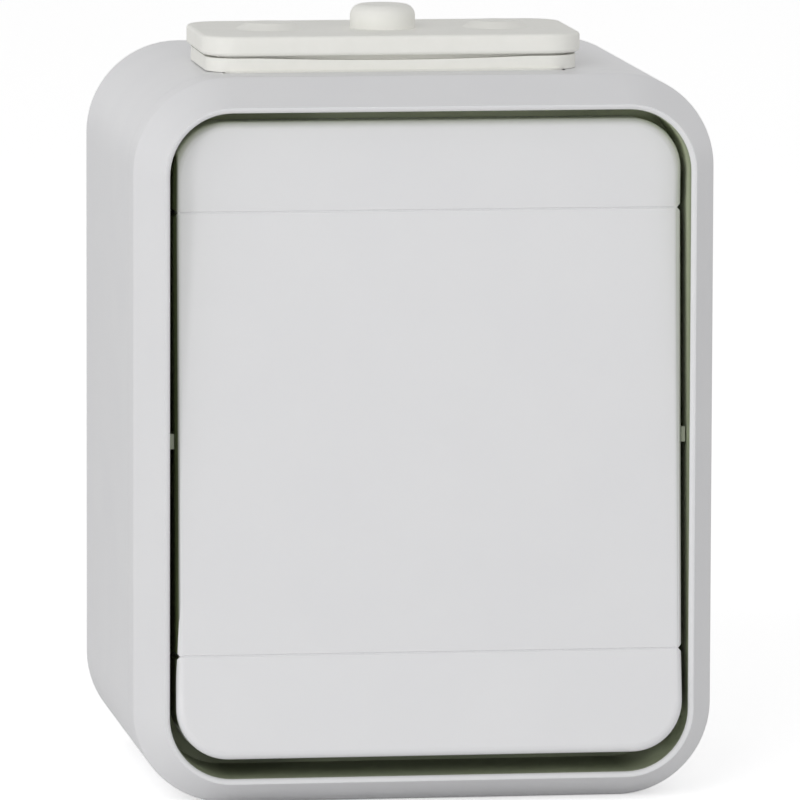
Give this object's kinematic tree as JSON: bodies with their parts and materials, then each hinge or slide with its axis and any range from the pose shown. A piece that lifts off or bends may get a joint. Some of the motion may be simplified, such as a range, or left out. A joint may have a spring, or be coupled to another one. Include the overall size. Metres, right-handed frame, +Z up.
{
  "type": "outdoor weatherproof switch",
  "caption": "Surface-mounted weatherproof rocker switch: deep box, sloped front frame, full-height rocker and a soft cable entry seal on top.",
  "frame": {"origin": "centre of the back face, on the wall plane", "axes": "+Y into the wall, so the front faces -Y; +Z up; +X to the right as seen from the front"},
  "size_m": [0.066, 0.0543, 0.089],
  "materials": {
    "housing_plastic": "fine satin moulded plastic, light grey white",
    "rocker_plastic": "smooth satin moulded plastic, light grey white",
    "seal_rubber": "soft cream elastomer",
    "gasket_rubber": "dark grey sealing rubber",
    "insert_plastic": "moulded thermoset, light grey",
    "toggle_plastic": "white low-friction plastic",
    "zinc_steel": "bright zinc-plated steel",
    "brass": "plain brass strip",
    "silver_tip": "bright silver alloy"
  },
  "bodies": {
    "housing": {"base_box": "housing_plastic", "front_cover": "housing_plastic", "cover_gasket": "gasket_rubber", "entry_seal": "seal_rubber", "common_contact": "brass", "upper_fixed_contact": "brass", "lower_fixed_contact": "brass", "fixed_contact_tips": "silver_tip", "terminal_clamps": "brass", "terminal_screws": "zinc_steel", "insert_base": "insert_plastic", "insert_cover": "insert_plastic", "insert_screws": "zinc_steel", "mounting_strap": "zinc_steel", "strap_screws": "zinc_steel", "toggle_seal": "gasket_rubber", "cover_screws": "zinc_steel", "earth_terminal": "brass", "earth_screw": "zinc_steel"},
    "rocker": {"rocker": "rocker_plastic"},
    "toggle": {"toggle": "toggle_plastic"},
    "plunger": {"plunger": "brass", "plunger_spring": "zinc_steel"},
    "see_saw": {"moving_contact": "brass", "moving_contact_tips": "silver_tip"}
  },
  "joints": [
    {"name": "rocker_hinge", "type": "hinge", "parent": "housing", "child": "rocker", "pos_m": [0, -0.04055, 0], "axis": [1, 0, 0], "range_deg": [0, 6]},
    {"name": "toggle_hinge", "type": "hinge", "parent": "housing", "child": "toggle", "pos_m": [0, -0.0362, 0], "axis": [1, 0, 0], "range_deg": [0, 6]},
    {"name": "see_saw_hinge", "type": "hinge", "parent": "housing", "child": "see_saw", "pos_m": [0, -0.0233, 0], "axis": [1, 0, 0], "range_deg": [-8, 0]},
    {"name": "plunger_slide", "type": "slide", "parent": "toggle", "child": "plunger", "axis": [0, -0.9986, 0.0523], "range_m": [0, 0.0008], "stiffness_N_per_m": 300, "springref_m": -0.003, "deforming": ["plunger_spring"]}
  ],
  "couplings": [
    {"joint": "toggle_hinge", "follows": "rocker_hinge", "ratio": 1},
    {"joint": "see_saw_hinge", "follows": "rocker_hinge", "ratio": -1.3333}
  ]
}
